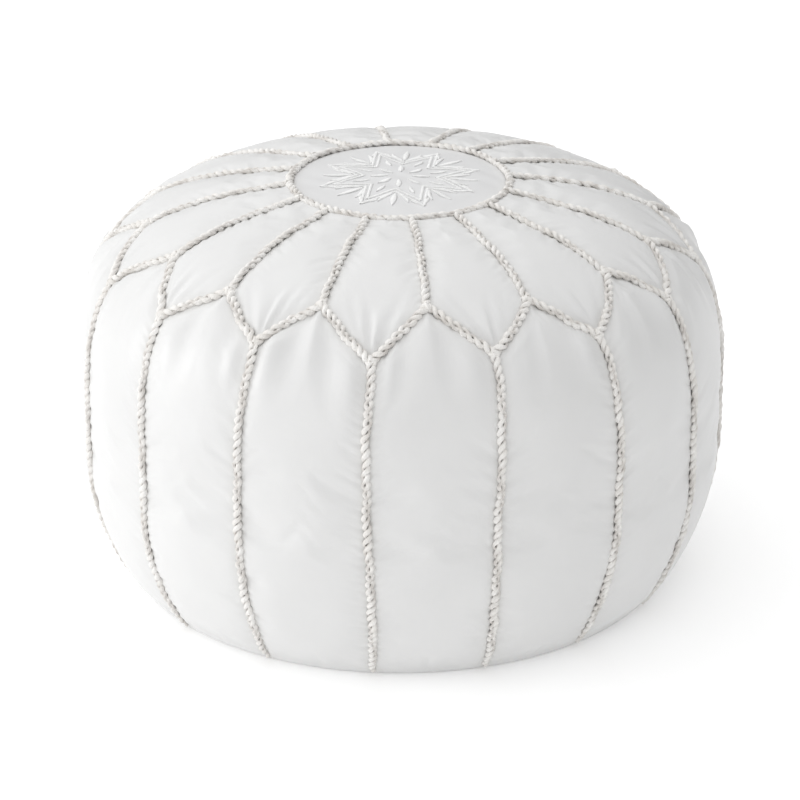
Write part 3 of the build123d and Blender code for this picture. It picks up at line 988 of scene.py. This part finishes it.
def on_medallion(x, y, lift=SILK_LIFT):
    """Points and outward directions on the medallion's leather."""
    radius, angle = np.hypot(x, y), np.arctan2(y, x)
    s = np.interp(radius, OUT_R[:widest], ARC[:widest])
    return place(angle, s, medallion_lift(angle, s) + lift)


def spine(start, end, half_width, leaf=False, bow=0.0):
    """A spine between two points of the medallion, wide all along or tapered like a leaf."""
    t = np.linspace(0, 1, 24)
    start, end = np.array(start), np.array(end)
    across = np.array([start[1] - end[1], end[0] - start[0]])
    line = start + (end - start) * t[:, None] + across * (bow * 4 * t * (1 - t))[:, None]
    taper = np.sin(math.pi * (0.06 + 0.9 * t)) ** 0.75 if leaf else np.ones_like(t)
    points, outs = on_medallion(line[:, 0], line[:, 1])
    return points, outs, half_width / MM * taper


def polar(radius, angle):
    return np.array([radius * math.cos(angle), radius * math.sin(angle)])


def leaf_spine(root, angle, length, half_width, bow=0.0):
    root = np.array(root)
    return spine(root, root + polar(length, angle), half_width, leaf=True, bow=bow)


def star_spines():
    chains = []
    half = math.pi / STAR_POINTS
    for row in STAR_ROWS:
        for i in range(STAR_POINTS):
            tip = STAR_TURN + 2 * half * i
            for side in (-1, 1):
                notch = polar(STAR_NOTCH * row, tip + side * half)
                chains.append(spine(notch, polar(STAR_TIP * row, tip), LINE_HALF))
    return chains


def sprig_spines(i):
    """A middle leaf, two side leaves and two short outer leaves between two points of the star."""
    middle = STAR_TURN + (i + 0.5) * 2 * math.pi / STAR_POINTS
    grow = 1 + 0.08 * math.sin(3 * i + 1)
    chains = [leaf_spine(polar(39 * MM, middle), middle, 23 * MM * grow, 2.7 * MM)]
    for side in (-1, 1):
        root = polar(39.5 * MM, middle) + polar(2.6 * MM, middle + side * math.pi / 2)
        chains.append(leaf_spine(root, middle + side * 0.56, 18 * MM * grow, 2.1 * MM, side * 0.08))
        outer = polar(51 * MM, middle) + polar(13 * MM, middle + side * math.pi / 2)
        chains.append(leaf_spine(outer, middle + side * 0.95, 10 * MM, 1.7 * MM))
    return chains


def rosette_spines(i):
    turn = STAR_TURN + (i + 0.5) * 2 * math.pi / STAR_POINTS
    chains = [leaf_spine(polar(10 * MM, turn), turn + 0.12, 13.5 * MM, 2.6 * MM)]
    chains.append(leaf_spine(polar(25.5 * MM, turn + 0.39), turn + 0.39, 13 * MM, 1.9 * MM))
    return chains


motif_chains = star_spines()
for i in range(STAR_POINTS):
    motif_chains += sprig_spines(i) + rosette_spines(i)
print(len(motif_chains), "spines")


# %% Twist one thread and lay it along every spine
def thread_item(name, radius, rise, sides=4, parts=5):
    """One thread that arches over its place, 1 mm to each side, sunk at both ends."""
    y = np.linspace(-1, 1, parts) * MM
    centres = np.stack([np.zeros(parts), y, rise * (1 - (y / MM) ** 2) - 0.4 * rise], axis=-1)
    item = hidden_item(name, *tube_rings(centres, radius, sides, closed=False))
    fix_normals(item)
    return item


def silk_material():
    material, tree, shader = new_material("silk")
    space = texture_space(tree)
    tone = ramp(tree, noise(tree, space, 160, 2), [(0.3, (0.9, 0.9, 0.895)), (0.7, (0.97, 0.97, 0.965))])
    tree.links.new(tone, shader.inputs["Base Color"])
    tree.links.new(bump(tree, noise(tree, space, 3200, 2), 0.05 * MM, 0.4), shader.inputs["Normal"])
    tree.links.new(to_range(tree, noise(tree, space, 500), 0.2, 0.36), shader.inputs["Roughness"])
    shader.inputs["Sheen Weight"].default_value = 0.3
    shader.inputs["Specular IOR Level"].default_value = 0.6
    return material


silk = silk_material()
thread = thread_item("thread_item", 0.26 * MM, 0.85 * MM)
silk_work = run_tree("silk_embroidery", path_mesh("silk_paths", motif_chains), SET_ALONG,
                     {"Pitch": THREAD_PITCH, "Slant": math.radians(24), "Loose turn": 0.07, "Seed": 3,
                      "Item": thread, "Material": silk})
bpy.data.objects.remove(thread)
finish_piece(silk_work, silk, replaced=["medallion_embroidery"])

# %% [markdown]
# ## The base
# Nobody sees the base until the pouf is turned over. Two half-moons of heavier, duller leather meet at a zip,
# with a short strip beyond each of its ends. They sag a little between the seams. They are laid out in
# columns across the half-moon and follow the dish of the outline.

# %% Cut the base leather
zip_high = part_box("zip_tape_right")[1]
zip_half = zip_high.y
slot_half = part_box("base_panel_right")[0].x
BASE_COLUMNS, BASE_ROWS = 60, 150
BASE_SAG = 0.7 * MM


def dish_at(x, y):
    """Height of the underside of the leather over the floor."""
    radius = np.hypot(x, y)
    height = np.interp(-radius, -OUT_R[widest:], OUT_Z[widest:])
    wave = np.sin(x / (23 * MM) + 1.7 * np.sin(y / (41 * MM)))
    wave = wave * np.sin(y / (31 * MM) + 0.8 * np.sin(x / (29 * MM)))
    inside = np.clip((DISH_END - radius) / (20 * MM), 0, 1)
    inside = inside * np.clip((np.abs(x) - slot_half) / (15 * MM), 0, 1)
    return height - BASE_SAG * (1 + wave) * inside


def base_half(side):
    reach = math.sqrt(base_radius**2 - (slot_half + 0.6 * MM) ** 2)
    y = reach * np.sin(np.linspace(-math.pi / 2, math.pi / 2, BASE_ROWS))[:, None]
    u = np.linspace(0, 1, BASE_COLUMNS)
    x = side * (slot_half + (np.sqrt(base_radius**2 - y**2) - slot_half) * u)
    y = np.broadcast_to(y, x.shape)
    points = np.stack([x, y, dish_at(x, y)], axis=-1)
    faces = grid_faces(BASE_ROWS, BASE_COLUMNS, closed=False)
    edge = np.minimum(base_radius - np.hypot(x, y), np.abs(x) - slot_half)
    # the base darkens towards its rim and the zip slot: tan edge tone and painted shade
    return points, faces if side > 0 else faces[:, ::-1], seam_tan_and_shade(edge, 5 * MM)


for side, label in ((-1, "left"), (1, "right")):
    points, faces, base_tan_and_shade = base_half(side)
    piece = mesh_object(f"leather_base_{label}", points, faces)
    carry_value(piece, "seam", base_tan_and_shade)
    thicken(piece, leather)
    finish_piece(piece, base_leather, replaced=[f"base_panel_{label}"])


STRIP_COLUMNS, STRIP_ROWS = 9, 16


def base_strips():
    """The two strips beyond the zip's ends, as one piece."""
    points, faces = [], []
    for end in (-1, 1):
        x, t = np.meshgrid(np.linspace(-slot_half, slot_half, STRIP_COLUMNS), np.linspace(0, 1, STRIP_ROWS))
        rim = np.sqrt(base_radius**2 - x**2)
        y = end * (zip_half + (rim - zip_half) * t)
        patch = grid_faces(STRIP_ROWS, STRIP_COLUMNS, closed=False) + len(points)
        faces += list(patch if end < 0 else patch[:, ::-1])
        points += list(np.stack([x, y, dish_at(x, y)], axis=-1).reshape(-1, 3))
    return np.array(points), faces


strips = mesh_object("leather_strips", *base_strips())
# the strips take four tenths of the tan edge tone and painted shade all over
carry_value(strips, "seam", np.full(len(strips.data.vertices), 0.4))
thicken(strips, leather)
finish_piece(strips, base_leather, replaced=["base_tabs"])
print("base leather cut; slot", round(2 * slot_half / MM, 1), "mm wide")

# %% [markdown]
# Machine stitching holds the zip tapes to the base leather, in two straight rows along each edge, 3 and 6 mm
# in. It is one small stitch set along four paths.

# %% Stitch the zip in
STITCH_PITCH = 3.4 * MM
STITCH_INSET = 3 * MM
STITCH_HALF = 1.25 * MM
STITCH_RADIUS = 0.28 * MM
STITCH_LIFT = 0.05 * MM
STITCH_PLACES = 90


def underside_chain(points):
    """A chain through points under the pouf, facing the floor."""
    return points, np.tile((0.0, 0.0, -1.0), (len(points), 1)), np.ones(len(points))


def stitch_rows():
    chains = []
    for side in (-1, 1):
        for inset in (STITCH_INSET, 2 * STITCH_INSET):
            y = np.linspace(-zip_half, zip_half, STITCH_PLACES)
            x = np.full_like(y, side * (slot_half + inset))
            chains.append(underside_chain(np.stack([x, y, dish_at(x, y) - STITCH_LIFT], axis=-1)))
    return chains


along = np.linspace(-1, 1, 7)
stitch_line = np.stack([STITCH_HALF * along, np.zeros(7), 0.25 * MM - 0.3 * MM * along**4], axis=-1)
stitch_item = hidden_item("stitch_item", *tube_rings(stitch_line, STITCH_RADIUS, 6, closed=False))
fix_normals(stitch_item)
stitches = run_tree("zip_stitching", path_mesh("stitch_paths", stitch_rows()), SET_ALONG,
                    {"Pitch": STITCH_PITCH, "Loose turn": 0.06, "Seed": 11, "Item": stitch_item,
                     "Material": seam_cord})
bpy.data.objects.remove(stitch_item)
finish_piece(stitches, seam_cord)

# %% [markdown]
# ## The zip
# A dress zip: two woven tapes, a row of moulded teeth on each, stops at both ends, and a nickel slider with a
# swinging pull. The tapes are woven in a herringbone, which is two slanting ribs that swap every millimetre
# or so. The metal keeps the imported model's exact shape, with its edges eased by a small bevel.

# %% Weave the tapes
RIB_PITCH = 0.7 * MM


def tape_material():
    material, tree, shader = new_material("zip_tape_cloth")
    coordinates = texture_space(tree)
    parts = step(tree, "ShaderNodeSeparateXYZ", {0: coordinates})
    zig = calc(tree, "PINGPONG", parts.outputs["X"], 1.2 * MM)
    slanted = calc(tree, "ADD", parts.outputs["Y"], zig)
    rib = calc(tree, "SINE", calc(tree, "MULTIPLY", slanted, 2 * math.pi / RIB_PITCH))
    rib = to_range(tree, calc(tree, "ADD", calc(tree, "MULTIPLY", rib, 0.5), 0.5), 0.0, 1.0)
    tree.links.new(ramp(tree, rib, [(0.0, (0.62, 0.61, 0.58)), (1.0, (0.8, 0.79, 0.76))]),
                   shader.inputs["Base Color"])
    tree.links.new(bump(tree, rib, 0.15 * MM, 0.7), shader.inputs["Normal"])
    shader.inputs["Roughness"].default_value = 0.85
    return material


tape_cloth = tape_material()
TAPE_WAVE = 0.12 * MM
TAPE_COLUMNS, TAPE_ROWS = 16, 220
for side, label in ((-1, "left"), (1, "right")):
    low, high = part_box(f"zip_tape_{label}")
    x, y = np.meshgrid(np.linspace(low.x, high.x, TAPE_COLUMNS), np.linspace(low.y, high.y, TAPE_ROWS))
    sewn = np.clip((np.abs(x) - slot_half) / (4 * MM), 0, 1)
    z = low.z + TAPE_WAVE * (1 + np.sin(y / (9 * MM) + side)) * sewn
    faces = grid_faces(TAPE_ROWS, TAPE_COLUMNS, closed=False)
    tape = mesh_object(f"tape_{label}", np.stack([x, y, z], axis=-1), faces)
    thicken(tape, high.z - low.z)
    finish_piece(tape, tape_cloth, replaced=[f"zip_tape_{label}"])


# %% Mould the teeth and stops
def plastic_material():
    material, tree, shader = new_material("tooth_plastic")
    space = texture_space(tree)
    tone = ramp(tree, noise(tree, space, 90, 2), [(0.3, (0.78, 0.77, 0.73)), (0.7, (0.85, 0.84, 0.81))])
    tree.links.new(tone, shader.inputs["Base Color"])
    tree.links.new(to_range(tree, noise(tree, space, 900, 2), 0.3, 0.45), shader.inputs["Roughness"])
    tree.links.new(bump(tree, noise(tree, space, 1800, 2), 0.05 * MM, 0.3), shader.inputs["Normal"])
    return material


def bevelled_box(name, size, bevel):
    """A box about the origin with eased edges."""
    work = bmesh.new()
    bmesh.ops.create_cube(work, size=1)
    bmesh.ops.scale(work, vec=size, verts=work.verts)
    bmesh.ops.bevel(work, geom=work.edges[:], offset=bevel, segments=2, profile=0.5, affect="EDGES")
    mesh = bpy.data.meshes.new(name)
    work.to_mesh(mesh)
    work.free()
    item = bpy.data.objects.new(name, mesh)
    scene.collection.objects.link(item)
    item.hide_render = True
    return item


tooth_plastic = plastic_material()
TOOTH_PITCH = 2.5 * MM
TOOTH_THICK = 1.6 * MM
TOOTH_EDGE = 0.3 * MM
ROW_PLACES = 120
for side, label in ((-1, "left"), (1, "right")):
    low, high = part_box(f"zip_teeth_{label}")
    tooth = bevelled_box("tooth_item", (TOOTH_THICK, high.x - low.x, high.z - low.z), TOOTH_EDGE)
    y = np.linspace(low.y + TOOTH_THICK / 2, high.y - TOOTH_THICK / 2, ROW_PLACES)
    middle = np.stack([0 * y + (low.x + high.x) / 2, y, 0 * y + (low.z + high.z) / 2], axis=-1)
    path = path_mesh("teeth_path", [underside_chain(middle)])
    teeth = run_tree(f"teeth_{label}", path, SET_ALONG,
                     {"Pitch": TOOTH_PITCH * 0.9999, "Loose turn": 0.02, "Seed": 5, "Item": tooth,
                      "Material": tooth_plastic})
    bpy.data.objects.remove(tooth)
    finish_piece(teeth, tooth_plastic, replaced=[f"zip_teeth_{label}"])


def eased_copy(node, name, bevel):
    """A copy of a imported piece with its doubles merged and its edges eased."""
    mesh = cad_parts[node].data.copy()
    mesh.name = name
    work = bmesh.new()
    work.from_mesh(mesh)
    bmesh.ops.remove_doubles(work, verts=work.verts, dist=0.002 * MM)
    bmesh.ops.dissolve_limit(work, angle_limit=math.radians(2), verts=work.verts, edges=work.edges)
    work.to_mesh(mesh)
    work.free()
    piece = bpy.data.objects.new(name, mesh)
    scene.collection.objects.link(piece)
    modifier = piece.modifiers.new("eased edges", "BEVEL")
    modifier.width = bevel
    modifier.segments = 2
    modifier.limit_method = "ANGLE"
    modifier.angle_limit = math.radians(40)
    modifier.harden_normals = False
    mesh.polygons.foreach_set("use_smooth", [False] * len(mesh.polygons))
    return piece


def nickel_material():
    material, tree, shader = new_material("nickel")
    space = texture_space(tree)
    shader.inputs["Base Color"].default_value = (0.62, 0.6, 0.57, 1)
    shader.inputs["Metallic"].default_value = 1.0
    tree.links.new(to_range(tree, noise(tree, texture_space(tree, (1, 12, 1)), 300, 4), 0.22, 0.42),
                   shader.inputs["Roughness"])
    tree.links.new(bump(tree, noise(tree, space, 1500, 2), 0.04 * MM, 0.3), shader.inputs["Normal"])
    return material


METAL_BEVEL = 0.18 * MM
STOP_BEVEL = 0.3 * MM
nickel = nickel_material()
for node in ("zip_bottom_stop", "zip_top_stops"):
    stop = eased_copy(node, "eased_" + node[4:], STOP_BEVEL)
    finish_piece(stop, tooth_plastic, replaced=[node])
for node in ("zip_slider", "zip_pull"):
    body = node[4:]
    finish_piece(eased_copy(node, "eased_" + body, METAL_BEVEL), nickel, body, [node])

# %% [markdown]
# ## Lining bag and filling
# Inside the leather is a plain cotton bag, and inside that the fibre. Both follow the leather's own pillows,
# a little further in, and rise over the zip. The bag is cloth, and a fifth of the cloth that it was cut from is
# lost in the pleats where it turns in over the top and under the base. The filling is packed almost hard.

# %% Make the bag and its filling
BAG_COLUMNS, BAG_ROWS = 192, 150
BAG_INSET = 5.2 * MM
BAG_THICKNESS = 0.8 * MM
FILLING_INSET = 6.8 * MM
FLAT_LIFT = 2.6 * MM
ZIP_ROOF = DISH_Z + 5 * MM


def inner_shell(inset, lump):
    """Points and faces of a closed form inside the leather."""
    s = np.linspace(0, ARC[-1], BAG_ROWS + 2)[1:-1, None]
    angle = (np.arange(BAG_COLUMNS) * 2 * math.pi / BAG_COLUMNS)[None, :]
    s, angle = np.broadcast_arrays(s, angle)
    on_cover = (s > S_RING) & (s < S_BASE)
    puffed = np.where(on_cover, sample_puff(angle, np.clip(s, S_RING, S_BASE)), 0) * 0.8
    lumps = lump * np.sin(9 * angle + 30 * s) * np.sin(41 * s + 3 * np.cos(4 * angle))
    points, _ = place(angle, s, np.minimum(puffed, 2 * MM) - inset + lumps)
    radius = np.hypot(points[..., 0], points[..., 1])
    under = s > S_CONTACT - 30 * MM
    rise = np.clip((DISH_START - radius) / (DISH_START - DISH_END), 0, 1)
    floor_z = FLAT_LIFT + inset - BAG_INSET + (ZIP_ROOF - FLAT_LIFT) * rise * rise * (3 - 2 * rise)
    points[..., 2] = np.where(under, np.maximum(points[..., 2], floor_z), points[..., 2])
    count = BAG_ROWS * BAG_COLUMNS
    faces = [tuple(f) for f in grid_faces(BAG_ROWS, BAG_COLUMNS)]
    faces += [(count, j, (j + 1) % BAG_COLUMNS) for j in range(BAG_COLUMNS)]
    last = count - BAG_COLUMNS
    faces += [(count + 1, last + (j + 1) % BAG_COLUMNS, last + j) for j in range(BAG_COLUMNS)]
    ends = [(0, 0, points[0, :, 2].mean()), (0, 0, points[-1, :, 2].mean())]
    return np.vstack([points.reshape(-1, 3), ends]), faces


def woven_material(name, light, dark, thread_size):
    material, tree, shader = new_material(name)
    space = texture_space(tree)
    parts = step(tree, "ShaderNodeSeparateXYZ", {0: space})
    waves = []
    for axis in ("X", "Y", "Z"):
        turns = calc(tree, "MULTIPLY", parts.outputs[axis], 2 * math.pi / thread_size)
        waves.append(calc(tree, "SINE", turns))
    weave = calc(tree, "MULTIPLY", calc(tree, "ADD", waves[0], waves[1]), 0.35)
    weave = calc(tree, "ADD", calc(tree, "MULTIPLY", weave, waves[2]), 0.5)
    tree.links.new(ramp(tree, weave, [(0.2, dark), (0.8, light)]), shader.inputs["Base Color"])
    tree.links.new(bump(tree, weave, 0.2 * MM, 0.5), shader.inputs["Normal"])
    shader.inputs["Roughness"].default_value = 0.9
    return material


bag_cotton = woven_material("bag_cotton", (0.78, 0.75, 0.68), (0.66, 0.63, 0.56), 0.9 * MM)
fibre = leather_material("fibre", (0.9, 0.9, 0.89), (0.82, 0.82, 0.81), (0.85, 0.85, 0.84))
filling = mesh_object("fibre_filling", *inner_shell(FILLING_INSET, 0.6 * MM))
finish_piece(filling, fibre, replaced=["stuffing"])
bag = mesh_object("cotton_bag", *inner_shell(BAG_INSET, 0.15 * MM))
thicken(bag, BAG_THICKNESS)
finish_piece(bag, bag_cotton, replaced=["inner_liner"])

# %% [markdown]
# ## Light and camera
# A white object on a white floor is shaped only by soft shading: one broad key light low on the left, and a
# sky that is white overhead and darkens towards the horizon and the right. The floor glows a little, so that
# it stays plain white. The camera stands well back with a long lens, looking down at about 24 degrees.

# %% Lay the floor and hang the lights
FLOOR_HALF = 9.0
floor = mesh_object("floor", [(-FLOOR_HALF, -FLOOR_HALF, 0), (FLOOR_HALF, -FLOOR_HALF, 0),
                              (FLOOR_HALF, FLOOR_HALF, 0), (-FLOOR_HALF, FLOOR_HALF, 0)], [(0, 1, 2, 3)])
floor_paint, _, floor_shader = new_material("floor_paint")
floor_shader.inputs["Base Color"].default_value = (0.93, 0.93, 0.93, 1)
floor_shader.inputs["Roughness"].default_value = 0.9
floor_shader.inputs["Emission Color"].default_value = (1, 1, 1, 1)
floor_shader.inputs["Emission Strength"].default_value = 0.2
floor.data.materials.append(floor_paint)

world = bpy.data.worlds.new("studio")
scene.world = world
world.use_nodes = True
sky = world.node_tree.nodes["Background"]
sky_space = world.node_tree.nodes.new("ShaderNodeTexCoord").outputs["Generated"]
sky_parts = step(world.node_tree, "ShaderNodeSeparateXYZ", {0: sky_space})
sky_lean = calc(world.node_tree, "MULTIPLY_ADD", sky_parts.outputs["X"], -0.3, sky_parts.outputs["Z"])
sky_colour = ramp(world.node_tree, sky_lean, [(0.0, (0.06, 0.06, 0.06)), (0.62, (1, 1, 1))])
world.node_tree.links.new(sky_colour, sky.inputs["Color"])
sky.inputs["Strength"].default_value = 1.17
scene.view_settings.view_transform = "Standard"


def area_light(name, place_at, aim_at, size, power):
    data = bpy.data.lights.new(name, "AREA")
    data.shape = "DISK"
    data.size = size
    data.energy = power
    lamp = bpy.data.objects.new(name, data)
    scene.collection.objects.link(lamp)
    lamp.location = place_at
    lamp.rotation_euler = (Vector(aim_at) - Vector(place_at)).to_track_quat("-Z", "Y").to_euler()
    return lamp


MIDDLE = Vector((0, 0, 0.415 * top_height))
area_light("key", (-3.6, 0.1, 0.8), MIDDLE, 1.6, 26)

# %% Set the camera
CAMERA_TURN = math.radians(-5.9)
CAMERA_RISE = math.radians(23.56)
CAMERA_DISTANCE = 2.909
LENS_MM = 160.7

camera_data = bpy.data.cameras.new("camera")
camera_data.lens = LENS_MM
camera = bpy.data.objects.new("camera", camera_data)
scene.collection.objects.link(camera)
level = math.cos(CAMERA_RISE)
back = Vector((math.sin(CAMERA_TURN) * level, -math.cos(CAMERA_TURN) * level, math.sin(CAMERA_RISE)))
camera.location = MIDDLE + CAMERA_DISTANCE * back
camera.rotation_euler = (-back).to_track_quat("-Z", "Y").to_euler()
scene.camera = camera
print("camera at", [round(v, 3) for v in camera.location])
